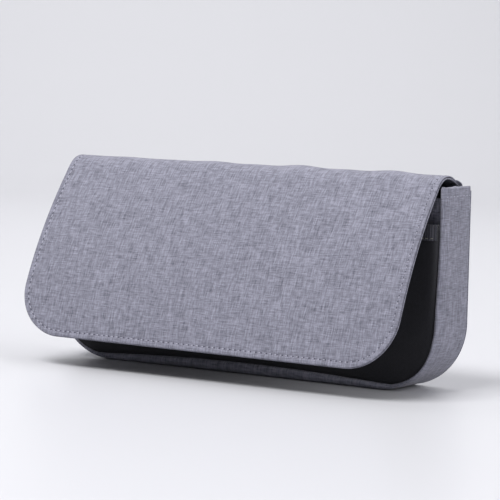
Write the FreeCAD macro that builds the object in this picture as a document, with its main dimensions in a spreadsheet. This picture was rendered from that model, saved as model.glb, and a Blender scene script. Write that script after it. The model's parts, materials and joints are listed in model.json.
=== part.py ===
# Cable organizer pouch: a flat standing pouch with a U-shaped gusset, a black
# pocket on its front, elastic cable loops and a mesh pocket inside, and a
# stiffened flap that is rooted at the back's top edge and falls over the front.
#
# Frame, in millimetres: +X along the width, -Y to the front, +Z up. The origin
# is the middle of the flat bottom that the pouch stands on.

import FreeCAD, Part
import math
import os
import Sketcher

doc = FreeCAD.newDocument("CableOrganizerPouch")

# The driving sizes. Everything else is worked out from these cells.
DRIVING_SIZES = [
    ("bodyWidth", 250.0, "outside, over both side walls"),
    ("bodyHeight", 109.0, "floor to the top of the side walls"),
    ("bodyDepth", 33.0, "gusset's front edge to the back's outer face"),
    ("cornerRadius", 36.0, "outside radius of the two bottom corners"),
    ("clothThickness", 0.8, "grey outer cloth"),
    ("foamThickness", 1.6, "foam between cloth and lining of back and gusset"),
    ("frontFoamThickness", 1.0, "thinner foam in the front wall"),
    ("liningThickness", 0.6, "black lining"),
    ("backDrop", 1.6, "back wall's top below the side walls' top"),
    ("frontDrop", 5.0, "front wall's top below the side walls' top"),
    ("pocketInset", 0.6, "pocket's face behind the gusset's front edge"),
    ("pocketThickness", 1.5, "black knit of the front pocket"),
    ("pocketDrop", 18.6, "pocket's mouth below the side walls' top"),
    ("pocketGap", 5.4, "room between pocket and front wall"),
    ("bindingThickness", 0.6, "ribbed tape folded over a raw edge"),
    ("bindingHeight", 8.6, "how far that tape reaches down each face"),
    ("meshThickness", 0.6, "mesh of the inner pocket"),
    ("meshGap", 5.2, "room between mesh and front lining"),
    ("meshHeight", 70.0, "mouth of the mesh pocket above the floor"),
    ("meshBindingThickness", 0.4, "elastic tape on the mesh pocket's mouth"),
    ("meshBindingHeight", 7.0, "height of that tape"),
    ("loopGap", 4.8, "room inside a cable loop"),
    ("loopThickness", 1.0, "elastic webbing of the cable loops"),
    ("loopWidth", 30.0, "flat front of one cable loop"),
    ("loopRamp", 5.0, "stretch over which the webbing leaves the lining"),
    ("tackWidth", 4.0, "webbing sewn down between two loops"),
    ("loopCount", 5, "cable loops in the row"),
    ("webbingHeight", 25.0, "width of the webbing, up and down"),
    ("webbingBottom", 56.0, "lower edge of the webbing above the floor"),
    ("tapeWidth", 4.0, "seam tape inside, across the gusset"),
    ("tapeThickness", 0.8, "seam tape inside"),
    ("tapeGap", 1.0, "seam tapes' ends below the front binding"),
    ("hemHeight", 6.0, "hem sewn down along the top of each side wall"),
    ("hemThickness", 0.5, "cloth turned over for that hem"),
    ("flapClearance", 0.6, "each side of the flap, inside the side walls"),
    ("flapLayer", 0.6, "each of the flap's three layers"),
    ("hingeInset", 0.5, "flap's root line in front of the back's face"),
    ("hingeLift", 0.6, "flap's root line above the side walls' top"),
    ("hingeGap", 0.7, "soft cloth each side of a fold line"),
    ("riseAngle", 14.0, "degrees, flap rising from its root"),
    ("crestSetback", 14.0, "flap's rising stretch is this much less than the body depth"),
    ("crestRadius", 7.0, "the flap's bend, at the middle of its thickness"),
    ("fallAngle", 54.0, "degrees, flap falling after the bend"),
    ("fallLength", 13.2, "end of the bend to the fold line"),
    ("frontRadius", 260.0, "gentle curl of the flap's front"),
    ("frontShortfall", 12.7, "flap's front is this much less than the body height"),
    ("flapCornerRadius", 28.0, "lower corners of the flap"),
    ("stripLength", 70.0, "hook-and-loop strips, along the width"),
    ("stripHeight", 18.0, "hook-and-loop strips, up and down"),
    ("stripThickness", 1.0, "each of the two strips"),
    ("stripEdge", 12.0, "hook strip above the flap's lower edge"),
    ("loopStripBottom", 17.0, "loop strip's lower edge above the floor"),
]

sheet = doc.addObject("Spreadsheet::Sheet", "Sizes")
for row, (alias, number, meaning) in enumerate(DRIVING_SIZES, start=1):
    sheet.set(f"A{row}", alias)
    sheet.set(f"B{row}", str(number))
    sheet.set(f"C{row}", meaning)
    sheet.setAlias(f"B{row}", alias)
doc.recompute()


def size(alias):
    return f"Sizes.{alias}"


def value(expression):
    """The number that an expression on the sheet gives, in millimetres or degrees."""
    result = sheet.evalExpression(str(expression))
    return float(getattr(result, "Value", result))


# How far a cut is drawn past what it cuts away, in millimetres.
OVERSHOOT = 2

# Derived places, each one an expression on the sheet.
WALL = "(Sizes.clothThickness + Sizes.foamThickness + Sizes.liningThickness)"
FRONT_Y = "(-Sizes.bodyDepth / 2)"
BACK_Y = "(Sizes.bodyDepth / 2)"
BACK_CLOTH_Y = f"({BACK_Y} - Sizes.clothThickness)"
BACK_FOAM_Y = f"({BACK_CLOTH_Y} - Sizes.foamThickness)"
BACK_LINING_Y = f"({BACK_FOAM_Y} - Sizes.liningThickness)"
POCKET_Y = f"({FRONT_Y} + Sizes.pocketInset + Sizes.pocketThickness)"
FRONT_WALL_Y = f"({POCKET_Y} + Sizes.pocketGap)"
FRONT_CLOTH_Y = f"({FRONT_WALL_Y} + Sizes.clothThickness)"
FRONT_FOAM_Y = f"({FRONT_CLOTH_Y} + Sizes.frontFoamThickness)"
FRONT_LINING_Y = f"({FRONT_FOAM_Y} + Sizes.liningThickness)"
MESH_Y = f"({FRONT_LINING_Y} + Sizes.meshGap + Sizes.meshThickness)"
BACK_TOP = "(Sizes.bodyHeight - Sizes.backDrop)"
FRONT_TOP = "(Sizes.bodyHeight - Sizes.frontDrop)"
POCKET_TOP = "(Sizes.bodyHeight - Sizes.pocketDrop)"
INNER_HALF = f"(Sizes.bodyWidth / 2 - {WALL})"
FLAP_HALF = f"({INNER_HALF} - Sizes.flapClearance)"


def newBody(name):
    body = doc.addObject("PartDesign::Body", name)
    body.Label = name
    return body


def newSketch(body, role, name, offset="0"):
    """A sketch on one of the body's own origin planes, moved along its normal."""
    plane = next(item for item in body.Origin.OriginFeatures if item.Role == role)
    sketch = body.newObject("Sketcher::SketchObject", name)
    sketch.AttachmentSupport = (plane, [""])
    sketch.MapMode = "FlatFace"
    sketch.setExpression("AttachmentOffset.Base.z", offset)
    return sketch


def drawLoop(sketch, corners, arcs=None):
    """Closed loop through corners, each a pair of expressions that fix it.

    arcs maps an edge's number to (centre x, centre y, radius) expressions. Edge
    number n runs from corner n to the next one, an arc the short way round.
    """
    arcs = arcs or {}
    points = [FreeCAD.Vector(value(x), value(y), 0) for x, y in corners]
    first = sketch.GeometryCount
    ends = []
    for edge, start in enumerate(points):
        end = points[(edge + 1) % len(points)]
        if edge not in arcs:
            sketch.addGeometry(Part.LineSegment(start, end), False)
            ends.append((1, 2))
            continue
        centre = FreeCAD.Vector(value(arcs[edge][0]), value(arcs[edge][1]), 0)
        startAngle = math.atan2(start.y - centre.y, start.x - centre.x)
        endAngle = math.atan2(end.y - centre.y, end.x - centre.x)
        forward = (endAngle - startAngle) % (2 * math.pi) < math.pi
        low, high = (startAngle, endAngle) if forward else (endAngle, startAngle)
        circle = Part.Circle(centre, FreeCAD.Vector(0, 0, 1), (start - centre).Length)
        sketch.addGeometry(Part.ArcOfCircle(circle, low, high), False)
        ends.append((1, 2) if forward else (2, 1))
    for edge, (x, y) in enumerate(corners):
        previous = (edge - 1) % len(corners)
        here = (first + edge, ends[edge][0])
        sketch.addConstraint(Sketcher.Constraint(
            "Coincident", first + previous, ends[previous][1], *here))
        for direction, place, number in (("DistanceX", x, points[edge].x),
                                         ("DistanceY", y, points[edge].y)):
            index = sketch.addConstraint(Sketcher.Constraint(direction, -1, 1, *here, number))
            sketch.setExpression(f"Constraints[{index}]", str(place))
    for edge, (_, _, radius) in arcs.items():
        index = sketch.addConstraint(Sketcher.Constraint("Radius", first + edge, value(radius)))
        sketch.setExpression(f"Constraints[{index}]", str(radius))


def drawBag(sketch, inset, top):
    """The pouch's outline in the XZ plane: square at the top, round at the bottom."""
    half = f"(Sizes.bodyWidth / 2 - {inset})"
    radius = f"(Sizes.cornerRadius - {inset})"
    flat = "(Sizes.bodyWidth / 2 - Sizes.cornerRadius)"
    rise = "Sizes.cornerRadius"
    corners = [(f"-{half}", top), (f"-{half}", rise), (f"-{flat}", inset),
               (flat, inset), (half, rise), (half, top)]
    arcs = {1: (f"-{flat}", rise, radius), 3: (flat, rise, radius)}
    drawLoop(sketch, corners, arcs)


def pad(body, sketch, length, symmetric=False):
    feature = body.newObject("PartDesign::Pad", sketch.Name + "Pad")
    feature.Profile = sketch
    feature.setExpression("Length", str(length))
    if symmetric:
        feature.SideType = "Symmetric"
    sketch.Visibility = False
    doc.recompute()
    return feature


def cutThrough(body, sketch):
    """Cuts the sketch's shape out of the body, both ways through."""
    before = body.Shape.Volume
    feature = body.newObject("PartDesign::Pocket", sketch.Name + "Cut")
    feature.Profile = sketch
    feature.Type = "ThroughAll"
    feature.SideType = "Symmetric"
    doc.recompute()
    if not body.Shape.Volume < before:
        raise RuntimeError(f"{body.Label}: the cut removes nothing")
    return feature


def panel(name, inset, top, backFace, thickness):
    """A flat layer with the pouch's outline; backFace is its rearmost y."""
    body = newBody(name)
    outline = newSketch(body, "XZ_Plane", name + "Outline", f"-{backFace}")
    drawBag(outline, inset, top)
    pad(body, outline, thickness)
    return body


def uStrip(name, inset, thickness, top, backFace, width):
    """A strip that runs down one side, along the bottom and up the other side."""
    body = newBody(name)
    outside = newSketch(body, "XZ_Plane", name + "Outside", f"-{backFace}")
    drawBag(outside, inset, top)
    pad(body, outside, width)
    inside = newSketch(body, "XZ_Plane", name + "Inside", f"-{backFace}")
    drawBag(inside, f"({inset} + {thickness})", f"({top} + {OVERSHOOT})")
    cutThrough(body, inside)
    return body


def edgeBinding(name, frontFace, backFace, top, wrap, height):
    """Tape folded over a layer's top edge, from side wall to side wall."""
    body = newBody(name)
    section = newSketch(body, "YZ_Plane", name + "Section")
    low = f"({top} - {height})"
    under = f"({top} - {wrap})"
    corners = [(f"({frontFace} - {wrap})", low), (f"({frontFace} - {wrap})", top),
               (f"({backFace} + {wrap})", top), (f"({backFace} + {wrap})", low),
               (backFace, low), (backFace, under), (frontFace, under), (frontFace, low)]
    drawLoop(section, corners)
    pad(body, section, f"2 * {INNER_HALF}", symmetric=True)
    return body


def block(name, low, high):
    """A Part::Box between two corners given as expressions."""
    box = doc.addObject("Part::Box", name)
    box.Label = name
    for axis, side, start, end in zip("xyz", ("Length", "Width", "Height"), low, high):
        box.setExpression(f"Placement.Base.{axis}", str(start))
        box.setExpression(side, f"({end}) - ({start})")
    return box


# Back wall: cloth, foam and lining. The cloth covers the gusset's back edge.
def backWall():
    panel("back_panel", "0", BACK_TOP, BACK_Y, size("clothThickness"))
    panel("back_foam", WALL, f"({BACK_TOP} - Sizes.bindingThickness)", BACK_CLOTH_Y,
          size("foamThickness"))
    panel("back_lining", WALL, f"({BACK_TOP} - Sizes.bindingThickness)", BACK_FOAM_Y,
          size("liningThickness"))
    block("flap_root_tape",
          (f"-{INNER_HALF}", BACK_LINING_Y, f"{BACK_TOP} - Sizes.bindingThickness"),
          (INNER_HALF, BACK_CLOTH_Y, BACK_TOP))


# Gusset: one U-shaped strip of three layers, with its top edges hemmed.
def gusset():
    width = f"({BACK_CLOTH_Y} - {FRONT_Y})"
    foamInset = size("clothThickness")
    liningInset = "(Sizes.clothThickness + Sizes.foamThickness)"
    under = "(Sizes.bodyHeight - Sizes.hemThickness)"
    uStrip("gusset", "0", size("clothThickness"), under, BACK_CLOTH_Y, width)
    uStrip("gusset_foam", foamInset, size("foamThickness"), under, BACK_CLOTH_Y, width)
    uStrip("gusset_lining", liningInset, size("liningThickness"),
           "(Sizes.bodyHeight - Sizes.hemHeight)", BACK_CLOTH_Y, width)
    for side, sign in (("left", "-1"), ("right", "1")):
        hem(f"{side}_hem", sign)


def hem(name, sign):
    """The gusset's cloth turned over its top edge and down inside."""
    body = newBody(name)
    outside = "Sizes.bodyWidth / 2"
    section = newSketch(body, "XZ_Plane", name + "Section", f"-{BACK_CLOTH_Y}")
    foamFace = f"({outside} - Sizes.clothThickness - Sizes.foamThickness)"
    corners = [(f"{sign} * {outside}", "Sizes.bodyHeight"),
               (f"{sign} * {INNER_HALF}", "Sizes.bodyHeight"),
               (f"{sign} * {INNER_HALF}", "Sizes.bodyHeight - Sizes.hemHeight"),
               (f"{sign} * {foamFace}", "Sizes.bodyHeight - Sizes.hemHeight"),
               (f"{sign} * {foamFace}", "Sizes.bodyHeight - Sizes.hemThickness"),
               (f"{sign} * {outside}", "Sizes.bodyHeight - Sizes.hemThickness")]
    drawLoop(section, corners)
    pad(body, section, f"({BACK_CLOTH_Y} - {FRONT_Y})")


# Front wall, with the black pocket before it and tape over both top edges.
def frontWall():
    under = f"({FRONT_TOP} - Sizes.bindingThickness)"
    panel("front_panel", WALL, under, FRONT_CLOTH_Y, size("clothThickness"))
    panel("front_foam", WALL, under, FRONT_FOAM_Y, size("frontFoamThickness"))
    panel("front_lining", WALL, under, FRONT_LINING_Y, size("liningThickness"))
    edgeBinding("front_binding", FRONT_WALL_Y, FRONT_LINING_Y, FRONT_TOP,
                size("bindingThickness"), size("bindingHeight"))
    panel("front_pocket", WALL, f"({POCKET_TOP} - Sizes.bindingThickness)", POCKET_Y,
          size("pocketThickness"))
    edgeBinding("pocket_binding", f"({POCKET_Y} - Sizes.pocketThickness)", POCKET_Y,
                POCKET_TOP, size("bindingThickness"), size("bindingHeight"))
    face = f"({POCKET_Y} - Sizes.pocketThickness)"
    block("loop_strip",
          ("-Sizes.stripLength / 2", f"{face} - Sizes.stripThickness", size("loopStripBottom")),
          ("Sizes.stripLength / 2", face, "Sizes.loopStripBottom + Sizes.stripHeight"))


# Inside: mesh pocket on the front wall, cable loops on the back, taped seams.
def meshPocket():
    panel("mesh_pocket", WALL, "(Sizes.meshHeight - Sizes.meshBindingThickness)", MESH_Y,
          size("meshThickness"))
    edgeBinding("mesh_binding", f"({MESH_Y} - Sizes.meshThickness)", MESH_Y,
                size("meshHeight"), size("meshBindingThickness"), size("meshBindingHeight"))


def cableLoops():
    """One length of webbing, sewn down between the loops that it forms."""
    body = newBody("cable_loops")
    section = newSketch(body, "XY_Plane", "CableLoopSection", size("webbingBottom"))
    pitch = "(Sizes.loopWidth + 2 * Sizes.loopRamp + Sizes.tackWidth)"
    start = f"(-{pitch} * Sizes.loopCount / 2)"
    lining = BACK_LINING_Y
    sewn = f"({lining} - Sizes.loopThickness)"
    raised = f"({lining} - Sizes.loopGap)"
    front = f"({raised} - Sizes.loopThickness)"
    rampStart = f"({start} + Sizes.tackWidth / 2)"
    rampEnd = f"({rampStart} + Sizes.loopRamp)"
    fallStart = f"({rampEnd} + Sizes.loopWidth)"
    fallEnd = f"({fallStart} + Sizes.loopRamp)"
    end = f"({start} + {pitch})"
    corners = [(start, lining), (start, sewn), (rampStart, sewn), (rampEnd, front),
               (fallStart, front), (fallEnd, sewn), (end, sewn), (end, lining),
               (fallEnd, lining), (fallStart, raised), (rampEnd, raised), (rampStart, lining)]
    drawLoop(section, corners)
    oneLoop = pad(body, section, size("webbingHeight"))
    row = body.newObject("PartDesign::LinearPattern", "CableLoopRow")
    row.Originals = [oneLoop]
    row.Direction = (section, ["H_Axis"])
    row.setExpression("Length", f"{pitch} * (Sizes.loopCount - 1)")
    row.setExpression("Occurrences", "Sizes.loopCount")
    body.Tip = row
    doc.recompute()
    return body


def seamTapes():
    top = f"({FRONT_TOP} - Sizes.bindingHeight - Sizes.tapeGap)"
    uStrip("back_seam_tape", WALL, size("tapeThickness"), top, BACK_LINING_Y,
           size("tapeWidth"))
    uStrip("front_seam_tape", WALL, size("tapeThickness"), top,
           f"({FRONT_LINING_Y} + Sizes.tapeWidth)", size("tapeWidth"))


# Flap. Its section is followed from the root line: up at the rise angle, round
# the crest, down at the fall angle to the fold line, then along a gentle curl.
HINGE_Y = f"({BACK_Y} - Sizes.hingeInset)"
HINGE_Z = "(Sizes.bodyHeight + Sizes.hingeLift)"
RISE_LENGTH = "(Sizes.bodyDepth - Sizes.crestSetback)"
FRONT_LENGTH = "(Sizes.bodyHeight - Sizes.frontShortfall)"
CREST_Y = (f"({HINGE_Y} - {RISE_LENGTH} * cos(Sizes.riseAngle)"
           " - Sizes.crestRadius * sin(Sizes.riseAngle))")
CREST_Z = (f"({HINGE_Z} + {RISE_LENGTH} * sin(Sizes.riseAngle)"
           " - Sizes.crestRadius * cos(Sizes.riseAngle))")
FOLD_Y = (f"({CREST_Y} - Sizes.crestRadius * sin(Sizes.fallAngle)"
          " - Sizes.fallLength * cos(Sizes.fallAngle))")
FOLD_Z = (f"({CREST_Z} + Sizes.crestRadius * cos(Sizes.fallAngle)"
          " - Sizes.fallLength * sin(Sizes.fallAngle))")
CURL_Y = f"({FOLD_Y} + Sizes.frontRadius * sin(Sizes.fallAngle))"
CURL_Z = f"({FOLD_Z} - Sizes.frontRadius * cos(Sizes.fallAngle))"


def risePoint(distance, offset):
    """A point on the flap's rising stretch; offset is outward from mid-thickness."""
    return (f"({HINGE_Y} - {distance} * cos(Sizes.riseAngle) + {offset} * sin(Sizes.riseAngle))",
            f"({HINGE_Z} + {distance} * sin(Sizes.riseAngle) + {offset} * cos(Sizes.riseAngle))")


def fallPoint(distance, offset):
    """A point on the falling stretch, distance past the crest's end."""
    reach = f"(Sizes.crestRadius + {offset})"
    return (f"({CREST_Y} - {reach} * sin(Sizes.fallAngle) - {distance} * cos(Sizes.fallAngle))",
            f"({CREST_Z} + {reach} * cos(Sizes.fallAngle) - {distance} * sin(Sizes.fallAngle))")


def curlPoint(distance, offset):
    """A point on the flap's curled front, distance past the fold line."""
    angle = f"(Sizes.fallAngle + {distance} / Sizes.frontRadius * 180 / pi)"
    reach = f"(Sizes.frontRadius + {offset})"
    return (f"({CURL_Y} - {reach} * sin({angle}))", f"({CURL_Z} + {reach} * cos({angle}))")


def flapTopLayer(name, inner, outer):
    """One layer of the flap between its root line and its fold line."""
    body = newBody(name)
    section = newSketch(body, "YZ_Plane", name + "Section")
    gap = size("hingeGap")
    end = "(Sizes.fallLength - Sizes.hingeGap)"
    corners = [risePoint(gap, outer), risePoint(RISE_LENGTH, outer),
               fallPoint("0", outer), fallPoint(end, outer),
               fallPoint(end, inner), fallPoint("0", inner),
               risePoint(RISE_LENGTH, inner), risePoint(gap, inner)]
    arcs = {1: (CREST_Y, CREST_Z, f"(Sizes.crestRadius + {outer})"),
            5: (CREST_Y, CREST_Z, f"(Sizes.crestRadius + {inner})")}
    drawLoop(section, corners, arcs)
    pad(body, section, f"2 * {FLAP_HALF}", symmetric=True)
    return body


def curledStrip(body, name, start, end, inner, outer, halfWidth):
    section = newSketch(body, "YZ_Plane", name + "Section")
    corners = [curlPoint(start, outer), curlPoint(end, outer),
               curlPoint(end, inner), curlPoint(start, inner)]
    arcs = {0: (CURL_Y, CURL_Z, f"(Sizes.frontRadius + {outer})"),
            2: (CURL_Y, CURL_Z, f"(Sizes.frontRadius + {inner})")}
    drawLoop(section, corners, arcs)
    pad(body, section, f"2 * {halfWidth}", symmetric=True)


def flapFrontLayer(name, inner, outer, edge="0"):
    """One layer of the flap's front, its lower corners rounded."""
    body = newBody(name)
    half = f"({FLAP_HALF} - {edge})"
    end = f"({FRONT_LENGTH} - {edge})"
    curledStrip(body, name, size("hingeGap"), end, inner, outer, half)
    low = curlPoint(end, "0")[1]
    radius = f"(Sizes.flapCornerRadius - {edge})"
    corner = newSketch(body, "XZ_Plane", name + "Corners")
    for sign in ("-1", "1"):
        across = f"({half} - {radius})"
        corners = [(f"{sign} * {half}", f"{low} + {radius}"),
                   (f"{sign} * ({half} + {OVERSHOOT})", f"{low} + {radius}"),
                   (f"{sign} * ({half} + {OVERSHOOT})", f"{low} - {OVERSHOOT}"),
                   (f"{sign} * {across}", f"{low} - {OVERSHOOT}"),
                   (f"{sign} * {across}", low)]
        drawLoop(corner, corners, {4: (f"{sign} * {across}", f"{low} + {radius}", radius)})
    cutThrough(body, corner)
    return body


def flap():
    half = "Sizes.flapLayer / 2"
    layers = (("lining", f"(-3 * {half})", f"(-{half})"),
              ("board", f"(-{half})", f"({half})"),
              ("cloth", f"({half})", f"(3 * {half})"))
    for layer, inner, outer in layers:
        flapTopLayer(f"flap_top_{layer}", inner, outer)
        flapFrontLayer(f"flap_front_{layer}", inner, outer)
    strip = newBody("hook_strip")
    end = f"({FRONT_LENGTH} - Sizes.stripEdge)"
    face = f"(-3 * {half})"
    curledStrip(strip, "hook_strip", f"({end} - Sizes.stripHeight)", end,
                f"({face} - Sizes.stripThickness)", face, "(Sizes.stripLength / 2)")


def checkedParts():
    """Every named sub-part, after checking that each one is whole."""
    doc.recompute()
    for item in doc.Objects:
        if "Invalid" in item.State or "Error" in item.State:
            raise RuntimeError(f"{item.Label} did not recompute: {item.State}")
    parts = [item for item in doc.Objects if item.TypeId in ("PartDesign::Body", "Part::Box")]
    for item in parts:
        if item.Shape.isNull() or not item.Shape.isValid() or not item.Shape.Solids:
            raise RuntimeError(f"{item.Label} has no valid solid")
    return parts


backWall()
gusset()
frontWall()
meshPocket()
cableLoops()
seamTapes()
flap()

os.makedirs("parts", exist_ok=True)
for item in checkedParts():
    item.Shape.exportStep(f"parts/{item.Label}.step")
    bounds = item.Shape.BoundBox
    print(f"{item.Label:18s} solids {len(item.Shape.Solids)} volume {item.Shape.Volume:9.1f}"
          f"  y {bounds.YMin:7.2f} {bounds.YMax:7.2f}  z {bounds.ZMin:7.2f} {bounds.ZMax:7.2f}")
for label, y, z in (("flap root line", HINGE_Y, HINGE_Z), ("flap fold line", FOLD_Y, FOLD_Z)):
    print(f"{label}: y {value(y):.3f}, z {value(z):.3f}")
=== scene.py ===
import json
import math

import bmesh
import bpy
import numpy as np
from mathutils import Matrix, Quaternion, Vector, geometry


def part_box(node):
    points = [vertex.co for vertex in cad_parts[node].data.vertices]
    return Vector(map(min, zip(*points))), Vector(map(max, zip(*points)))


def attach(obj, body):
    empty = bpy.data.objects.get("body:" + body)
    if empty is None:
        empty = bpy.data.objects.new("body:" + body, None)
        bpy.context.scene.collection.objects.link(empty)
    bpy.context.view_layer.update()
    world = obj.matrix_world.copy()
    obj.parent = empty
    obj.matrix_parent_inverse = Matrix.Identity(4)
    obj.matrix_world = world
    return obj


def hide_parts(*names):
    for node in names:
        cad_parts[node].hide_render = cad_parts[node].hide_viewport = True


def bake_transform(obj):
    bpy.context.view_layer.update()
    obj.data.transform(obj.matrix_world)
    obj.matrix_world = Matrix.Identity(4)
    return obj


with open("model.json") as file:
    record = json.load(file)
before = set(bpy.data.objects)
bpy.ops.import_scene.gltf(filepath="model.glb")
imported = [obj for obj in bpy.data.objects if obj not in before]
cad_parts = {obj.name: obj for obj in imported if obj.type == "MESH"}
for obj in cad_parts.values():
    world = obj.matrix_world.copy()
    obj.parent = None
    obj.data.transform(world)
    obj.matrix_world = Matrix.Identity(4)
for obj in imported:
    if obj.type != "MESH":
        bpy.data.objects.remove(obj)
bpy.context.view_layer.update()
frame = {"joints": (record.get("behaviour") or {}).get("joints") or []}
mm = 0.001

# Places that every piece is made from, in millimetres, read from the model.
joints = {joint["name"]: joint for joint in frame["joints"]}


def lowOf(node):
    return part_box(node)[0] / mm


def highOf(node):
    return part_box(node)[1] / mm


bag = {
    "half": highOf("gusset").x,
    "top": highOf("right_hem").z + 0.9,   # the hems stand a little proud
    "front": lowOf("gusset").y,
    "back": highOf("back_panel").y,
    "radius": 36.0,
    "wall": highOf("gusset").x - highOf("back_lining").x,
}
rootLine = Vector(joints["flap_hinge"]["pos_m"]) / mm


def smoothstep(x):
    x = np.clip(x, 0.0, 1.0)
    return x * x * (3 - 2 * x)


def placed(name, data):
    # an object at the origin, in the scene
    thing = bpy.data.objects.new(name, data)
    bpy.context.scene.collection.objects.link(thing)
    return thing


def pointVectors(mesh, name, vectors):
    # stores one vector for each point of a mesh
    attribute = mesh.attributes.new(name, "FLOAT_VECTOR", "POINT")
    attribute.data.foreach_set("vector", np.asarray(vectors, np.float32).ravel())


def newPiece(name, points, faces, places, material):
    # points in mm; places are where each point lies on the flat cloth, in mm
    mesh = bpy.data.meshes.new(name)
    mesh.from_pydata([tuple(p * mm) for p in np.asarray(points, float)], [], faces)
    flat = np.zeros((len(points), 3), np.float32)
    flat[:, :2] = np.asarray(places, float)[:, :2]
    pointVectors(mesh, "clothPlace", flat)
    work = bmesh.new()
    work.from_mesh(mesh)
    bmesh.ops.recalc_face_normals(work, faces=work.faces)
    if work.calc_volume(signed=True) < 0:
        bmesh.ops.reverse_faces(work, faces=work.faces)
    work.to_mesh(mesh)
    work.free()
    mesh.shade_smooth()
    mesh.materials.append(material)
    return placed(name, mesh)


def roundBottom(half, depth, radius, inset, step=3.0):
    # outline, square at the top and round at the bottom, as (x, down) pairs;
    # every inset gives the same count of points, so rings join point to point
    sideCount = max(2, int((depth - radius) / step))
    bottomCount = max(2, int(2 * (half - radius) / step))
    topCount = max(2, int(2 * half / step))
    arcCount = max(4, int(radius * 1.57 / step * 1.6))
    x, small = half - inset, radius - inset
    pairs = []
    for i in range(sideCount):
        pairs.append((-x, inset + (depth - radius - inset) * i / sideCount))
    for i in range(arcCount):
        a = math.pi / 2 * i / arcCount
        pairs.append((-(half - radius) - small * math.cos(a), depth - radius + small * math.sin(a)))
    for i in range(bottomCount):
        pairs.append((-(half - radius) + 2 * (half - radius) * i / bottomCount, depth - inset))
    for i in range(arcCount):
        a = math.pi / 2 * i / arcCount
        pairs.append((half - radius + small * math.sin(a), depth - radius + small * math.cos(a)))
    for i in range(sideCount):
        pairs.append((x, depth - radius + (inset - depth + radius) * i / sideCount))
    for i in range(topCount):
        pairs.append((x - 2 * x * i / topCount, inset))
    return np.array(pairs)


def fillInside(ring, step):
    # points inside a ring on a grid, and triangles that join them to it
    low, high = ring.min(0), ring.max(0)
    count = len(ring)
    grid = []
    inner = ring * (1 - step / np.maximum(high - low, 1)) + (low + high) / 2 * step / (high - low)
    for x in np.arange(low[0] + step, high[0] - step * 0.4, step):
        for y in np.arange(low[1] + step, high[1] - step * 0.4, step):
            grid.append((x, y))
    grid = np.array(grid)
    inside = np.zeros(len(grid), bool)
    j = count - 1
    for i in range(count):
        a, b = inner[i], inner[j]
        crosses = (a[1] > grid[:, 1]) != (b[1] > grid[:, 1])
        with np.errstate(divide="ignore", invalid="ignore"):
            at = (b[0] - a[0]) * (grid[:, 1] - a[1]) / (b[1] - a[1]) + a[0]
        inside ^= crosses & (grid[:, 0] < at)
        j = i
    grid = grid[inside]
    points = np.vstack([ring, grid])
    edges = [(i, (i + 1) % count) for i in range(count)]
    made = geometry.delaunay_2d_cdt([Vector(p) for p in points], edges, [], 1, 1e-6)
    verts, faces, source = made[0], made[2], made[3]
    index = {i: old[0] for i, old in enumerate(source) if old}
    if len(verts) != len(points):
        raise RuntimeError("the outline crosses itself")
    return grid, [tuple(index[i] for i in face) for face in faces]


def shell(name, outline, section, toSpace, material, step=3.0):
    # a closed thin piece whose edge follows a section: outline(inset) gives a ring
    # of (x, down) pairs; section lists (inset, height) from the outer face, round
    # the edge, to the inner face; toSpace(x, down, height) gives points in mm
    rings = [outline(inset) for inset, _ in section]
    count = len(rings[0])
    flat = list(rings)
    heights = [np.full(count, height) for _, height in section]
    faces = []
    for k in range(len(rings) - 1):
        for i in range(count):
            j = (i + 1) % count
            faces.append((k * count + i, k * count + j, (k + 1) * count + j, (k + 1) * count + i))
    total = count * len(rings)
    for k, flip in ((0, False), (len(rings) - 1, True)):
        grid, cells = fillInside(rings[k], step)
        flat.append(grid)
        heights.append(np.full(len(grid), section[k][1]))
        for cell in cells:
            named = tuple(k * count + i if i < count else total + i - count for i in cell)
            faces.append(named[::-1] if flip else named)
        total += len(grid)
    flat = np.vstack(flat)
    heights = np.concatenate(heights)
    points = toSpace(flat[:, 0], flat[:, 1], heights)
    return newPiece(name, points, faces, flat, material)


def sweep(name, rows, material, places):
    # joins rows of points, each row one closed section, and caps both ends
    rows = np.asarray(rows, float)
    lengths, count = rows.shape[0], rows.shape[1]
    faces = []
    for k in range(lengths - 1):
        for i in range(count):
            j = (i + 1) % count
            faces.append((k * count + i, (k + 1) * count + i, (k + 1) * count + j, k * count + j))
    faces.append(tuple(range(count)))
    faces.append(tuple((lengths - 1) * count + i for i in reversed(range(count))))
    return newPiece(name, rows.reshape(-1, 3), faces, np.asarray(places).reshape(-1, 2), material)


def linear(hexColour):
    # an sRGB hex colour as linear RGBA
    parts = [int(hexColour[i:i + 2], 16) / 255 for i in (1, 3, 5)]
    return tuple(c / 12.92 if c <= 0.04045 else ((c + 0.055) / 1.055) ** 2.4 for c in parts) + (1,)


def addNode(tree, kind, inputs=None, **settings):
    # a node with its settings; an input is linked to a socket or set to a value
    node = tree.nodes.new(kind)
    for key, item in settings.items():
        setattr(node, key, item)
    for key, item in (inputs or {}).items():
        if isinstance(item, bpy.types.NodeSocket):
            tree.links.new(item, node.inputs[key])
        else:
            node.inputs[key].default_value = item
    return node


def newMaterial(name, roughness, extras=None):
    # a material with its shader; extras are constant socket values
    material = bpy.data.materials.new(name)
    material.use_nodes = True
    tree = material.node_tree
    shader = tree.nodes["Principled BSDF"]
    shader.inputs["Roughness"].default_value = roughness
    for key, item in (extras or {}).items():
        shader.inputs[key].default_value = item
    return material, tree, shader


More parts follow.
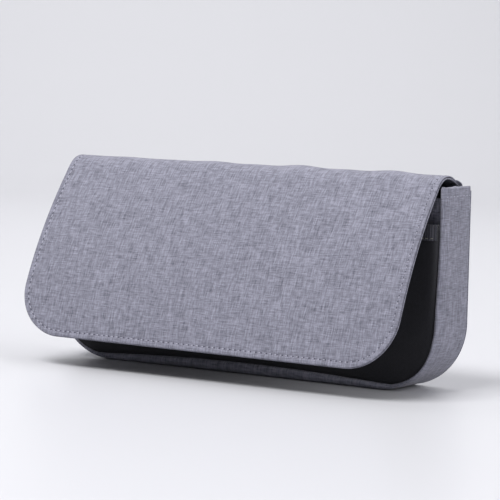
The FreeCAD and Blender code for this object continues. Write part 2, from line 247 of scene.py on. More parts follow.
def shadeAndRelief(tree, shader, spec, tone, relief, strength, depth, ends=(0.0, 1.0)):
    # colours the shader from dark to light by tone, and raises it by relief, in metres
    ramp = addNode(tree, "ShaderNodeValToRGB", {"Fac": tone})
    for element, at, colour in zip(ramp.color_ramp.elements, ends, ("dark", "light")):
        element.position = at
        element.color = linear(spec[colour])
    tree.links.new(ramp.outputs[0], shader.inputs["Base Color"])
    bump = addNode(tree, "ShaderNodeBump", {"Strength": strength, "Distance": depth, "Height": relief})
    tree.links.new(bump.outputs[0], shader.inputs["Normal"])


def weighted(tree, pairs, start):
    # the sum of start and each (socket, weight) pair
    total = start
    for source, weight in pairs:
        total = addNode(tree, "ShaderNodeMath", {0: source, 1: weight, 2: total},
                        operation="MULTIPLY_ADD").outputs[0]
    return total


def clothPlaceOf(tree):
    # where a point lies on the flat cloth: the whole vector, then its X and Y
    place = addNode(tree, "ShaderNodeAttribute", attribute_name="clothPlace").outputs["Vector"]
    parts = addNode(tree, "ShaderNodeSeparateXYZ", {0: place})
    return place, parts.outputs["X"], parts.outputs["Y"]


def threadWave(tree, along, length):
    # a sine along the cloth with that length in mm
    turned = addNode(tree, "ShaderNodeMath", {0: along, 1: 2 * math.pi / length},
                     operation="MULTIPLY")
    return addNode(tree, "ShaderNodeMath", {0: turned.outputs[0]}, operation="SINE").outputs[0]


def stretchedNoise(tree, place, across, down, detail=2.0):
    # noise whose features are about across by down, in mm of cloth
    mapping = addNode(tree, "ShaderNodeMapping", {"Vector": place, "Scale": (1 / across, 1 / down, 1)})
    return addNode(tree, "ShaderNodeTexNoise", {
        "Vector": mapping.outputs[0], "Scale": 1.0, "Detail": detail, "Roughness": 0.6},
        noise_dimensions="2D").outputs[0]


def yarnShade(tree, across, down, pitch, length):
    # each yarn has its own shade, which drifts slowly along its length
    count = addNode(tree, "ShaderNodeMath", {0: across, 1: pitch}, operation="DIVIDE")
    whole = addNode(tree, "ShaderNodeMath", {0: count.outputs[0]}, operation="FLOOR")
    apart = addNode(tree, "ShaderNodeMath", {0: whole.outputs[0], 1: 7.3}, operation="MULTIPLY")
    drift = addNode(tree, "ShaderNodeMath", {0: down, 1: length}, operation="DIVIDE")
    spot = addNode(tree, "ShaderNodeCombineXYZ", {0: apart.outputs[0], 1: drift.outputs[0]})
    return addNode(tree, "ShaderNodeTexNoise", {
        "Vector": spot.outputs[0], "Scale": 1.0, "Detail": 1.0, "Roughness": 0.5},
        noise_dimensions="2D").outputs[0]


def wovenCloth(name, spec):
    # plain-woven cloth of mixed yarns, read from each piece's clothPlace
    material, tree, shader = newMaterial(name, spec["roughness"], {
        "Sheen Weight": spec["sheen"], "Sheen Roughness": 0.5, "Specular IOR Level": 0.25})
    place, across, down = clothPlaceOf(tree)
    shares = [(yarnShade(tree, across, down, spec["yarn"], spec["slub"]), spec["warpShare"]),
              (yarnShade(tree, down, across, spec["yarn"], spec["slub"]), spec["weftShare"]),
              (stretchedNoise(tree, place, spec["yarn"], spec["yarn"]), spec["fleckShare"]),
              (stretchedNoise(tree, place, spec["patch"], spec["patch"], 3.0), spec["broadShare"]),
              (stretchedNoise(tree, place, spec["yarn"] * 1.6, spec["streak"]), spec["streakShare"])]
    middle = 0.5 * (1 - sum(share for _, share in shares))   # so that the tone averages a half
    tone = weighted(tree, shares, middle)
    # threads rise in a checker, two pitches from one to the next of its kind
    checker = addNode(tree, "ShaderNodeMath", {0: threadWave(tree, across, 2 * spec["pitch"]),
                                               1: threadWave(tree, down, 2 * spec["pitch"])},
                      operation="MULTIPLY")
    relief = weighted(tree, [(checker.outputs[0], 0.5), (tone, spec["slubRelief"])], 0.0)
    shadeAndRelief(tree, shader, spec, tone, relief, spec["bump"], 0.0002)
    return material


def ribbedTape(name, spec):
    # grosgrain or elastic webbing: one fibre direction in fine ribs
    material, tree, shader = newMaterial(name, spec["roughness"], {
        "Sheen Weight": spec["sheen"], "Sheen Roughness": 0.4, "Specular IOR Level": 0.35})
    place, across, down = clothPlaceOf(tree)
    ribs = threadWave(tree, across if spec["axis"] == "X" else down, spec["rib"])
    # partly painted shade: the rib wave darkens the colour in each groove and lightens it on each
    # crest; the fibre noise is the tape's own uneven tone
    tone = weighted(tree, [(ribs, 0.25), (stretchedNoise(tree, place, 0.3, 1.4), 0.9)], 0.0)
    shadeAndRelief(tree, shader, spec, tone, tone, 0.7, 0.00015)
    return material


def plainStuff(name, spec):
    # thread, plastic sheet, net and pile: one colour broken up by fine grain
    material, tree, shader = newMaterial(name, spec["roughness"])
    place = addNode(tree, "ShaderNodeTexCoord").outputs["Object"]
    grain = addNode(tree, "ShaderNodeTexNoise", {
        "Vector": place, "Scale": 1000 / spec["grain"], "Detail": 3.0}).outputs[0]
    shadeAndRelief(tree, shader, spec, grain, grain, spec["bump"], 0.0001, (0.3, 0.7))
    return material


# Heathered polyester canvas: plain weave of light and dark yarns, so it shows a
# fine crosshatch with slubs. Yarns are drawn at 0.5 mm, coarser than the real
# 0.3 mm, which would be too fine to show.
heatherSpec = {"roughness": 0.88, "sheen": 0.12, "yarn": 0.5, "slub": 6.0, "patch": 18.0,
               "streak": 24.0, "warpShare": 0.62, "weftShare": 0.58, "fleckShare": 0.12,
               "broadShare": 0.04, "streakShare": 0.25, "dark": "#373743", "light": "#a0a0af",
               "pitch": 0.5, "slubRelief": 0.2, "bump": 0.35}
heatherCanvas = wovenCloth("HeatherPolyesterCanvas", heatherSpec)
# Black nylon lining: plain weave, smoother than the canvas, one colour.
nylonLining = wovenCloth("BlackNylonLining", {
    "roughness": 0.6, "sheen": 0.1, "yarn": 0.4, "slub": 5.0, "patch": 40.0, "warpShare": 0.5,
    "weftShare": 0.5, "fleckShare": 0.3, "broadShare": 0.1, "streak": 30.0, "streakShare": 0.1,
    "dark": "#17171b", "light": "#34343b",
    "pitch": 0.5, "slubRelief": 0.5, "bump": 0.35})
# Neoprene-like black knit: fine and matt, with a soft sheen at grazing light.
blackKnit = wovenCloth("BlackScubaKnit", {
    "roughness": 0.72, "sheen": 0.12, "yarn": 0.5, "slub": 1.2, "patch": 35.0, "warpShare": 0.5,
    "weftShare": 0.3, "fleckShare": 0.5, "broadShare": 0.15, "streak": 30.0, "streakShare": 0.2,
    "dark": "#101014", "light": "#26262c",
    "pitch": 0.6, "slubRelief": 0.4, "bump": 0.3})
# Grosgrain: fine crosswise ribs drawn 1.3 mm apart, a silky edge to each; painted shade makes the
# grooves darker and the crests lighter.
grosgrain = ribbedTape("BlackGrosgrain", {
    "roughness": 0.6, "sheen": 0.2, "axis": "X", "rib": 1.3, "dark": "#15151a", "light": "#4a4a54"})
# Knitted elastic webbing: ribs run along it, duller than grosgrain, with the same painted shade in the
# grooves.
elasticWebbing = ribbedTape("BlackElasticWebbing", {
    "roughness": 0.7, "sheen": 0.15, "axis": "Y", "rib": 1.6, "dark": "#131316", "light": "#36363c"})
# Polyester sewing thread: smooth twisted fibre, slightly glossy.
greyThread = plainStuff("GreyPolyesterThread", {
    "roughness": 0.55, "grain": 0.4, "dark": "#8b8a99", "light": "#b3b2c0", "bump": 0.3})
blackThread = plainStuff("BlackPolyesterThread", {
    "roughness": 0.5, "grain": 0.4, "dark": "#2a2a30", "light": "#515159", "bump": 0.3})
# Painted shade: a dark colour for the shaded dimple that a needle leaves between two stitches.
needleHoleShade = plainStuff("NeedleHoleShade", {
    "roughness": 0.95, "grain": 0.5, "dark": "#403f4c", "light": "#5a5967", "bump": 0.2})
# Warp-knitted nylon net: dull, round black threads.
nylonNet = plainStuff("BlackNylonNet", {
    "roughness": 0.55, "grain": 0.3, "dark": "#141416", "light": "#2c2c30", "bump": 0.2})
# Hook and loop tape: moulded and brushed nylon, so dark that it looks matt.
nylonPile = plainStuff("HookAndLoopNylon", {
    "roughness": 0.65, "grain": 0.4, "dark": "#0f0f11", "light": "#28282c", "bump": 0.5})
# Extruded polypropylene sheet: milky, slightly waxy shine.
stiffSheet = plainStuff("PolypropyleneSheet", {
    "roughness": 0.45, "grain": 3.0, "dark": "#cfcfcf", "light": "#dedede", "bump": 0.1})
print("materials made")


slack = {"columns": 61, "rows": 31, "frames": 24, "quality": 6, "mass": 0.2, "stiffness": 2.0,
         "quickShare": 0.6}


def simulatedSlack(width, depth, grow, push, cap):
    # height field of a cloth that is sewn down round its edge and cut a little
    # too large, so that it stands proud; gives a function of (x, down) in mm
    columns, rows = slack["columns"], slack["rows"]
    points = [((c / (columns - 1) - 0.5) * width * mm, 0.0, -r / (rows - 1) * depth * mm)
              for r in range(rows) for c in range(columns)]
    faces = [(r * columns + c, r * columns + c + 1, (r + 1) * columns + c + 1,
              (r + 1) * columns + c) for r in range(rows - 1) for c in range(columns - 1)]
    mesh = bpy.data.meshes.new("slackCloth")
    mesh.from_pydata(points, [], faces)
    cloth = placed("slackCloth", mesh)
    sewn = cloth.vertex_groups.new(name="sewn")
    edge = [r * columns + c for r in range(rows) for c in range(columns)
            if r in (0, rows - 1) or c in (0, columns - 1)]
    sewn.add(edge, 1.0, "REPLACE")
    modifier = cloth.modifiers.new("Cloth", "CLOTH")
    settings = modifier.settings
    settings.vertex_group_mass = "sewn"
    settings.shrink_min = -grow
    settings.use_pressure = True
    settings.uniform_pressure_force = push
    settings.quality = slack["quality"]
    settings.mass = slack["mass"]
    settings.bending_stiffness = slack["stiffness"]
    scene = bpy.context.scene
    for step in range(1, slack["frames"] + 1):
        scene.frame_set(step)
    made = bpy.data.meshes.new_from_object(
        cloth.evaluated_get(bpy.context.evaluated_depsgraph_get()))
    field = np.array([-v.co.y for v in made.vertices]).reshape(rows, columns) / mm
    bpy.data.objects.remove(cloth)
    bpy.data.meshes.remove(made)
    scene.frame_set(1)
    peak = np.abs(field).max()
    field = field * (min(1.0, cap / max(peak, 1e-6)))
    print(f"slack cloth: peak {peak:.2f} mm, capped at {cap} mm")

    def height(x, down):
        c = np.clip((np.asarray(x) / width + 0.5) * (columns - 1), 0, columns - 1.001)
        r = np.clip(np.asarray(down) / depth * (rows - 1), 0, rows - 1.001)
        c0, r0 = c.astype(int), r.astype(int)
        fc, fr = c - c0, r - r0
        fc, fr = fc * fc * (3 - 2 * fc), fr * fr * (3 - 2 * fr)
        top = field[r0, c0] * (1 - fc) + field[r0, c0 + 1] * fc
        low = field[r0 + 1, c0] * (1 - fc) + field[r0 + 1, c0 + 1] * fc
        return top * (1 - fr) + low * fr

    return height


def newTree(name, inputs):
    # a Geometry Nodes tree with named inputs; gives it, its input node and
    # each input's identifier
    tree = bpy.data.node_groups.new(name, "GeometryNodeTree")
    sockets = {}
    for label, kind in [("Geometry", "Geometry"), *inputs, ("Material", "Material")]:
        made = tree.interface.new_socket(label, in_out="INPUT", socket_type="NodeSocket" + kind)
        sockets[label] = made.identifier
    tree.interface.new_socket("Geometry", in_out="OUTPUT", socket_type="NodeSocketGeometry")
    return tree, addNode(tree, "NodeGroupInput").outputs, sockets


def endTree(tree, made, material):
    # every tree ends in real geometry with its material
    real = addNode(tree, "GeometryNodeRealizeInstances", {0: made})
    done = addNode(tree, "GeometryNodeSetMaterial", {"Geometry": real.outputs[0],
                                                     "Material": material})
    addNode(tree, "NodeGroupOutput", {0: done.outputs[0]})


def turnedBy(tree, upright, low, high, seed):
    # a rotation, turned about its own Z by a random angle
    turn = addNode(tree, "FunctionNodeRandomValue", {2: low, 3: high, "Seed": seed},
                   data_type="FLOAT")
    angles = addNode(tree, "ShaderNodeCombineXYZ", {"Z": turn.outputs[1]})
    euler = addNode(tree, "FunctionNodeEulerToRotation", {0: angles.outputs[0]})
    return addNode(tree, "FunctionNodeRotateRotation", {0: upright, 1: euler.outputs[0]},
                   rotation_space="LOCAL").outputs[0]


def stitchTree():
    # Geometry Nodes: one stitch at even steps along each line of the input
    tree, given, sockets = newTree("stitchRow", [
        ("Pitch", "Float"), ("Length", "Float"), ("Width", "Float"), ("Height", "Float"),
        ("Lift", "Float"), ("Jitter", "Float"), ("Seed", "Int")])
    line = addNode(tree, "GeometryNodeMeshToCurve", {"Mesh": given["Geometry"]})
    spaced = addNode(tree, "GeometryNodeResampleCurve", {"Curve": line.outputs[0],
                                                         "Length": given["Pitch"]}, mode="LENGTH")
    tangent = addNode(tree, "GeometryNodeInputTangent")
    normal = addNode(tree, "GeometryNodeInputNamedAttribute", {"Name": "clothNormal"},
                     data_type="FLOAT_VECTOR")
    along = addNode(tree, "FunctionNodeAlignRotationToVector", {"Vector": tangent.outputs[0]},
                    axis="X")
    upright = addNode(tree, "FunctionNodeAlignRotationToVector", {
        "Rotation": along.outputs[0], "Vector": normal.outputs[0]}, axis="Z", pivot_axis="X")
    back = addNode(tree, "ShaderNodeMath", {0: given["Jitter"], 1: -1.0}, operation="MULTIPLY")
    turned = turnedBy(tree, upright.outputs[0], back.outputs[0], given["Jitter"], given["Seed"])
    ball = addNode(tree, "GeometryNodeMeshUVSphere", {"Segments": 8, "Rings": 6, "Radius": 0.5})
    smooth = addNode(tree, "GeometryNodeSetShadeSmooth", {0: ball.outputs[0]})
    size = addNode(tree, "ShaderNodeCombineXYZ", {
        "X": given["Length"], "Y": given["Width"], "Z": given["Height"]})
    laid = addNode(tree, "GeometryNodeInstanceOnPoints", {
        "Points": spaced.outputs[0], "Instance": smooth.outputs[0], "Rotation": turned,
        "Scale": size.outputs[0]})
    lift = addNode(tree, "ShaderNodeCombineXYZ", {"Z": given["Lift"]})
    moved = addNode(tree, "GeometryNodeTranslateInstances", {
        "Instances": laid.outputs[0], "Translation": lift.outputs[0], "Local Space": True})
    endTree(tree, moved.outputs[0], given["Material"])
    return tree, sockets


stitchRow = stitchTree()


def looseMesh(name, points, edges, normals):
    # points in metres with a normal each, for a tree to work on
    mesh = bpy.data.meshes.new(name)
    mesh.from_pydata(points, edges, [])
    pointVectors(mesh, "clothNormal", normals)
    return placed(name, mesh)


def lineObject(name, lines):
    # polylines as loose edges; lines is a list of (points, normals) in mm
    points, edges, normals = [], [], []
    for line, up in lines:
        first = len(points)
        points += [tuple(p * mm) for p in np.asarray(line)]
        normals += [tuple(n) for n in np.asarray(up)]
        edges += [(first + i, first + i + 1) for i in range(len(line) - 1)]
    return looseMesh(name, points, edges, normals)


def applyNodes(piece, made, values, material):
    # runs a tree on a piece and keeps the plain mesh that it gives
    group, sockets = made
    modifier = piece.modifiers.new("Nodes", "NODES")
    modifier.node_group = group
    for label, item in [*values.items(), ("Material", material)]:
        modifier[sockets[label]] = item
    graph = bpy.context.evaluated_depsgraph_get()
    graph.update()
    mesh = bpy.data.meshes.new_from_object(piece.evaluated_get(graph))
    mesh.name = piece.name
    piece.modifiers.remove(modifier)
    old = piece.data
    piece.data = mesh
    bpy.data.meshes.remove(old)
    return piece


def stitches(name, lines, spec, material):
    sizes = {label.capitalize(): spec[label] * mm
             for label in ("pitch", "length", "width", "height", "lift")}
    return applyNodes(lineObject(name, lines), stitchRow,
                      {**sizes, "Jitter": spec["jitter"], "Seed": spec["seed"]}, material)


topStitch = {"pitch": 3.3, "length": 1.9, "width": 0.5, "height": 0.34, "lift": -0.04,
             "jitter": 0.05, "seed": 3}
# painted shade: dark dots between the stitches stand in for the shade of the needle dimples
needleShadeDot = {"pitch": 3.3, "length": 1.4, "width": 0.9, "height": 0.34, "lift": 0.02,
              "jitter": 0.3, "seed": 5}


flap = {
    "half": highOf("flap_front_cloth").x - 0.5,
    "riseAngle": 18.0, "riseLength": 19.0, "crestRadius": 7.0,
    "fallAngle": 54.0, "fallLength": 13.2,
    "curlRadius": 260.0, "curlLength": 94.9,
    "cornerRadius": 28.0,
    "soften": 6.5,          # how far the bend spreads past its arc
    "twist": -0.9,          # left end forward, right end back, at the lower edge
    "skew": 0.5,            # right end hangs this much lower than the middle
    "waveHeight": 0.5,      # slow waves of the soft crest
    "stitchInset": 3.0,
    "stiffenerThick": 0.3,
    "rootGap": 0.6,
    "step": 2.5,            # size of the mesh's cells
    "rootDraw": 2.8,        # how far its ends draw in beside the root seam
}
crestLength = math.radians(flap["riseAngle"] + flap["fallAngle"]) * flap["crestRadius"]
foldAt = flap["riseLength"] + crestLength + flap["fallLength"]
flapLength = foldAt + flap["curlLength"]


def flapCurve():
    # the flap's middle line in the YZ plane, followed from its root line
    step = 0.1
    q = np.arange(0, flapLength + 2, step)
    bendStart = flap["riseLength"] - flap["soften"]
    bend = smoothstep((q - bendStart) / (crestLength + 2 * flap["soften"]))
    angle = np.radians(-flap["riseAngle"] + (flap["riseAngle"] + flap["fallAngle"]) * bend)
    angle = angle + np.clip(q - foldAt, 0, None) / flap["curlRadius"]
    middle = angle[:-1] + np.diff(angle) / 2
    y = rootLine.y - np.concatenate([[0], np.cumsum(np.cos(middle) * step)])
    z = rootLine.z - np.concatenate([[0], np.cumsum(np.sin(middle) * step)])
    return q, y, z, angle


flapQ, flapY, flapZ, flapTilt = flapCurve()


def flapToSpace(x, down, height):
    side = x / flap["half"]
    x = x - side * flap["rootDraw"] * (1 - smoothstep(down / 16.0))
    fall = np.clip((down - flap["riseLength"]) / (flapLength - flap["riseLength"]), 0, 1)
    down = down + flap["skew"] * side * fall
    y = np.interp(down, flapQ, flapY)
    z = np.interp(down, flapQ, flapZ)
    tilt = np.interp(down, flapQ, flapTilt)
    ripple = np.sin(x * 0.108 - 1.67) + 0.55 * np.sin(x * 0.217 + 1.31)
    wave = ripple * flap["waveHeight"] * (0.25 + 0.75 * smoothstep((x + 60) / 70))
    wave = wave * np.exp(-((down - 24) / 16) ** 2) * smoothstep(down / 12)
    slack = 0.5 * np.sin(x * 0.021 + 0.4) * np.sin(down * 0.045) * smoothstep(down / 30)
    lift = height + wave + slack
    y = y - np.sin(tilt) * lift - flap["twist"] * side * fall
    z = z + np.cos(tilt) * lift
    return np.stack([x, y, z], axis=1)


def flapOutline(inset):
    ring = roundBottom(flap["half"], flapLength - flap["rootGap"], flap["cornerRadius"], inset,
                       step=flap["step"])
    return ring + np.array([0, flap["rootGap"]])


def flapCover(name, top, seam, reach, sign, material):
    # one face of the flap: turned edge, sewn channel and flat back; reach moves
    # its edge out past the other face's
    inset = flap["stitchInset"]
    middle = (top + seam) / 2
    half = (top - seam) / 2
    channel = [(inset + 6.0, top), (inset + 2.2, top), (inset + 1.1, top - 0.06),
               (inset + 0.5, top - 0.2), (inset, top - 0.32), (inset - 0.5, top - 0.2),
               (inset - 1.0, top + 0.02), (inset - 1.5, top + 0.08)]
    turn = [(half * (1 - math.sin(a)) - reach, middle + half * math.cos(a))
            for a in np.radians(np.arange(0, 181, 22.5))]
    under = [(half + 0.6 - reach, seam), (inset, seam), (inset + 6.0, seam)]
    section = [(a, sign * b) for a, b in channel + turn + under]
    return shell(name, flapOutline, section, flapToSpace, material, step=flap["step"])


flapCloth = flapCover("flap_cloth", 1.0, 0.2, 0.0, 1, heatherCanvas)
flapLining = flapCover("flap_underside", 0.85, 0.16, 0.3, -1, heatherCanvas)


def outlineLine(height, inset, offset=0.0):
    # the stitch line near the flap's three free edges, with its normals
    ring = flapOutline(inset)
    topCount = max(2, int(2 * flap["half"] / flap["step"]))
    line = ring[:len(ring) - topCount + 1]
    steps = np.linalg.norm(np.diff(line, axis=0), axis=1)
    along = np.concatenate([[0], np.cumsum(steps)])
    fine = np.arange(offset, along[-1], 0.7)
    x, down = np.interp(fine, along, line[:, 0]), np.interp(fine, along, line[:, 1])
    points = flapToSpace(x, down, np.full(len(x), height))
    tilt = np.interp(down, flapQ, flapTilt)
    up = np.stack([np.zeros(len(x)), -np.sin(tilt), np.cos(tilt)], axis=1)
    return points, up * (1 if height > 0 else -1)


inset = flap["stitchInset"]
flapThread = stitches("flap_stitches", [outlineLine(0.70, inset)], topStitch, greyThread)
# dark dots of painted shade, half a pitch along, between the top stitches
flapShadeDots = stitches("flap_needle_shade_dots", [outlineLine(0.70, inset, topStitch["pitch"] / 2)],
                     needleShadeDot, needleHoleShade)
underThread = stitches("flap_underside_stitches", [outlineLine(-0.55, inset)], topStitch, greyThread)


def flapBoard(name, start, end, corner):
    # stiffener sheet inside the flap, cut back from its sewn edge
    half = flap["half"] - flap["stitchInset"] - 1.5
    depth = end - start

    def outline(edge):
        return roundBottom(half, depth, corner, edge, step=4.0) + np.array([0, start])

    thick = flap["stiffenerThick"] / 2
    section = [(2.0, thick), (0.3, thick), (0.0, thick / 2), (0.0, -thick / 2), (0.3, -thick),
               (2.0, -thick)]
    return shell(name, outline, section, flapToSpace, stiffSheet, 5.0)


topBoard = flapBoard("flap_top_stiffener", 3.0, foldAt - 2.5, 3.0)
frontBoard = flapBoard("flap_front_stiffener", foldAt + 2.5, flapLength - 4.5,
                       flap["cornerRadius"] - 4.5)
print("flap made")

for piece in (flapCloth, flapLining, flapThread, flapShadeDots, underThread):
    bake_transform(piece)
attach(topBoard, "flap_top")
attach(frontBoard, "flap_front")
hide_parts("flap_top_cloth", "flap_front_cloth")
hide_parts("flap_top_lining", "flap_front_lining")
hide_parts("flap_top_board")
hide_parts("flap_front_board")


pocket = {
    "edge": 3.05,
    "top": highOf("front_pocket").z,
    "face": lowOf("front_pocket").y,
    "thickness": highOf("front_pocket").y - lowOf("front_pocket").y,
    "stand": 0.9,
    "radius": 27.0,
}
gusset = {
    "puff": 0.6,        # how far the foam pushes the strip out
    "creaseAt": 9.5,     # a faint sewn line along the strip, towards the back
    "foamFace": 2.3,     # where the lining begins, in from the outside
    "drawBack": 3.8,     # front edge pulled back at the top, level at the corners
    "cornerSqueeze": 0.5,
    "lean": 3.6, "leanFrom": 86.0,   # how far the left front corner slumps, and from what height
    "bottomRoll": 3.0,   # how much taller the padded roll is at the middle of the bottom
    "sideCount": 30, "arcCount": 20, "bottomCount": 70,
}


def leanIn(x, y, z):
    # the mouth's left front corner slumps inwards; its tip reaches a little
    # into the flap's corner
    high = smoothstep((np.asarray(z, float) - gusset["leanFrom"]) / 22.0)
    front = smoothstep((8.0 - np.asarray(y, float)) / 14.0)
    end = np.clip((-np.asarray(x, float) - 95.0) / 30.0, 0, 1)
    return x + gusset["lean"] * high * front * end


def pulledBack(y, z):
    # the strip's front half slides back towards the mouth, as slack cloth does
    share = smoothstep((np.asarray(z, float) - 16.0) / 72.0)
    reach = np.clip((-2.0 - y) / (-2.0 - bag["front"]), 0, 1)
    return y + gusset["drawBack"] * share * reach


def bottomLift(x):
    # the padded bottom swells in front of the pocket, most at its middle
    return gusset["bottomRoll"] * np.clip(1 - (np.asarray(x, float) / 95.0) ** 2, 0, 1)


def uPath(inset, top):
    # down the left side, along the bottom and up the right, as (x, z, length)
    half, radius = bag["half"], bag["radius"]
    small = radius - inset
    pairs = []
    for i in range(gusset["sideCount"]):
        pairs.append((-(half - inset), top + (radius - top) * i / gusset["sideCount"]))
    for i in range(gusset["arcCount"]):
        a = math.pi / 2 * i / gusset["arcCount"]
        pairs.append((-(half - radius) - small * math.cos(a), radius - small * math.sin(a)))
    for i in range(gusset["bottomCount"] + 1):
        pairs.append((-(half - radius) + 2 * (half - radius) * i / gusset["bottomCount"], inset))
    left = pairs[:gusset["sideCount"] + gusset["arcCount"]]
    return np.array(pairs + [(-x, z) for x, z in left[::-1]])


def uSweep(name, section, top, material, ends=None):
    # sweeps a closed section of (inset, y) pairs round the U; ends lists
    # (rise above the top, squeeze) and rounds off both ends
    section = np.array(section, float)
    path = uPath(0.0, top)
    steps = np.concatenate([[0], np.cumsum(np.linalg.norm(np.diff(path, axis=0), axis=1))])
    rows, places = [], []
    across = np.linalg.norm(np.diff(section, axis=0, prepend=section[:1]), axis=1).cumsum()
    insets = {float(n): uPath(float(n), top) for n in np.unique(section[:, 0])}
    for i in range(len(path)):
        row = []
        resting = 1 - smoothstep((path[i][1] - 2.0) / 30.0)   # 1 where it stands on the floor
        corner = math.exp(-(((path[i][1] - 11.0) / 11.0) ** 2)) * (path[i][1] > 0.5)
        for n, y in section:
            x, z = insets[float(n)][i]
            if n < 0:
                x, z = insets[float(n)][i] * (1 - resting) + path[i] * resting
            elif y < bag["front"] + 5.0:
                squeeze = gusset["cornerSqueeze"] * corner
                x, z = insets[float(n)][i] * (1 - squeeze) + path[i] * squeeze
                z += float(bottomLift(x)) * n / pocket["edge"] * (path[i][1] < 1.0)
            row.append((float(leanIn(x, y, z)), float(pulledBack(y, z)), z))
        rows.append(row)
        places.append([(around, steps[i]) for around in across])
    rows, places = np.array(rows), np.array(places)
    if ends:
        middle = section.mean(0)
        for which in (0, -1):
            base, baseUp = rows[which].copy(), places[which].copy()
            sign = -1 if which == 0 else 1
            added, addedPlaces = [], []
            for rise, squeeze in ends:
                row = base.copy()
                inward = middle[0] + (section[:, 0] - middle[0]) * squeeze
                row[:, 0] = sign * (bag["half"] - inward)
                row[:, 2] = top + rise
                row[:, 0] = leanIn(row[:, 0], row[:, 1], row[:, 2])
                added.append(row)
                addedPlaces.append(baseUp + np.array([0, sign * rise]))
            if which == 0:
                rows = np.concatenate([np.array(added[::-1]), rows])
                places = np.concatenate([np.array(addedPlaces[::-1]), places])
            else:
                rows = np.concatenate([rows, np.array(added)])
                places = np.concatenate([places, np.array(addedPlaces)])
    return sweep(name, rows, material, places)


def gussetSection():
    # the strip across the depth: rolled front edge, soft face, seam at the back
    front, back = bag["front"], bag["back"]
    roll = [(3.3, front + 3.8), (3.28, front + 2.6), (3.15, front + 1.6), (2.9, front + 0.85),
            (2.5, front + 0.32), (2.05, front + 0.05), (1.6, front + 0.07), (1.15, front + 0.35),
            (0.72, front + 0.9), (0.4, front + 1.7), (0.16, front + 2.8), (0.03, front + 4.0)]
    face = []
    for y in np.linspace(front + 5.4, back - 2.0, 22):
        share = (y - front) / (back - front)
        swell = gusset["puff"] * math.sin(math.pi * share) ** 0.8
        crease = 0.2 * math.exp(-((y - gusset["creaseAt"]) / 0.55) ** 2)
        face.append((round(-swell + crease, 4), float(y)))
    seam = [(0.0, back - 1.35), (0.15, back - 1.1), (0.6, back - 0.98), (1.4, back - 0.95)]
    inner = [(gusset["foamFace"], back - 1.2), (gusset["foamFace"], front + 9.0),
             (gusset["foamFace"], front + 5.2)]
    return roll + face + seam + inner


gussetCover = uSweep("gusset_cover", gussetSection(), bag["top"] - 1.3, heatherCanvas,
                     [(0.5, 0.93), (0.95, 0.7), (1.2, 0.35)])
liningFace = bag["wall"]
gussetInside = uSweep("gusset_lining_cloth", [
    (2.4, bag["front"] + 3.2), (liningFace, bag["front"] + 3.4), (liningFace, -4.0),
    (liningFace, 6.0), (liningFace, bag["back"] - 3.1), (2.4, bag["back"] - 3.0), (2.4, 6.0),
    (2.4, -4.0)], bag["top"] - 5.0, nylonLining)


hem = {"seamDown": 5.0, "seamStep": 0.8}   # the sewn row, below the mouth's edge


def sideHem(name, sign):
    # the strip's cloth turned over its top edge and sewn down inside
    outside = bag["half"]
    top = bag["top"]
    start = bag["front"] + gusset["drawBack"]
    ys = np.concatenate([[start + 0.5, start + 1.1], np.linspace(start + 2.0, 13.6, 24),
                         [bag["back"] - 1.6, bag["back"] - 1.1]])
    profile = [(0.95, -1.35), (0.95, -0.6), (1.15, -0.15), (1.6, 0.0), (2.1, -0.03), (2.6, -0.25),
               (2.95, -0.7), (3.05, -1.6), (3.05, -4.4), (3.0, -5.6), (2.8, -6.0), (2.45, -5.9),
               (2.4, -4.0), (2.4, -1.5)]
    rows, places = [], []
    for i, y in enumerate(ys):
        ease = 1 - 0.5 * (i in (0, len(ys) - 1))
        dip = 0.16 * math.sin(y * 0.42 + 1.0) + 0.12 * math.sin(y * 0.9)
        backFall = 1.0 * smoothstep((y - 12.0) / 4.0)
        row = []
        for n, dz in profile:
            inward = 1.9 + (n - 1.9) * ease
            x = float(leanIn(sign * (outside - inward), y, top))
            row.append((x, y, top + dz * ease + (dip - backFall) * (dz > -3)))
        rows.append(row)
        places.append([(y, 200 + dz + n) for n, dz in profile])
    return sweep(name, rows, heatherCanvas, places)


hems = [sideHem("side_hem_left", -1), sideHem("side_hem_right", 1)]
hemLines = []
for sign in (-1, 1):
    seamZ = bag["top"] - hem["seamDown"]
    ys = np.arange(bag["front"] + gusset["drawBack"] + 2.0, bag["back"] - 2.0, hem["seamStep"])
    share = (ys - bag["front"]) / (bag["back"] - bag["front"])
    out = gusset["puff"] * np.sin(math.pi * share) ** 0.8
    seamX = leanIn(sign * (bag["half"] + out + 0.02), ys, seamZ)
    line = np.stack([seamX, ys, np.full(len(ys), seamZ)], 1)
    hemLines.append((line, np.tile((float(sign), 0.0, 0.0), (len(ys), 1))))
print("gusset made")


def wallToSpace(face, top, outward, bulge=None):
    # maps (x, down, height) on to a wall at y = face; outward is -1 or 1
    def toSpace(x, down, height):
        lift = height + (bulge(x, down) if bulge else 0.0)
        y, z = face + outward * lift, np.maximum(top - down, 0.02)
        return np.stack([leanIn(x, y, z), y, z], axis=1)
    return toSpace


def bagOutline(edge, top, step=3.0, radius=None):
    # outline of a wall whose edge lies that far in from the pouch's outside
    def outline(inset):
        return roundBottom(bag["half"] - edge, top - edge, radius or bag["radius"] - edge, inset,
                           step=step)
    return outline


def edgeFade(edge, top, reach):
    # 1 in the middle of a wall, falling to 0 at its sides and bottom
    def share(x, down):
        side = (bag["half"] - edge - np.abs(x)) / reach
        bottom = (top - edge - down) / reach
        corner = bag["radius"] - edge
        dx = np.clip(np.abs(x) - (bag["half"] - bag["radius"]), 0, None)
        dz = np.clip(down - (top - bag["radius"]), 0, None)
        arc = (corner - np.hypot(dx, dz)) / reach
        arc = np.where((dx > 0) & (dz > 0), arc, 9.0)
        return smoothstep(np.minimum(np.minimum(side, bottom), arc))
    return share


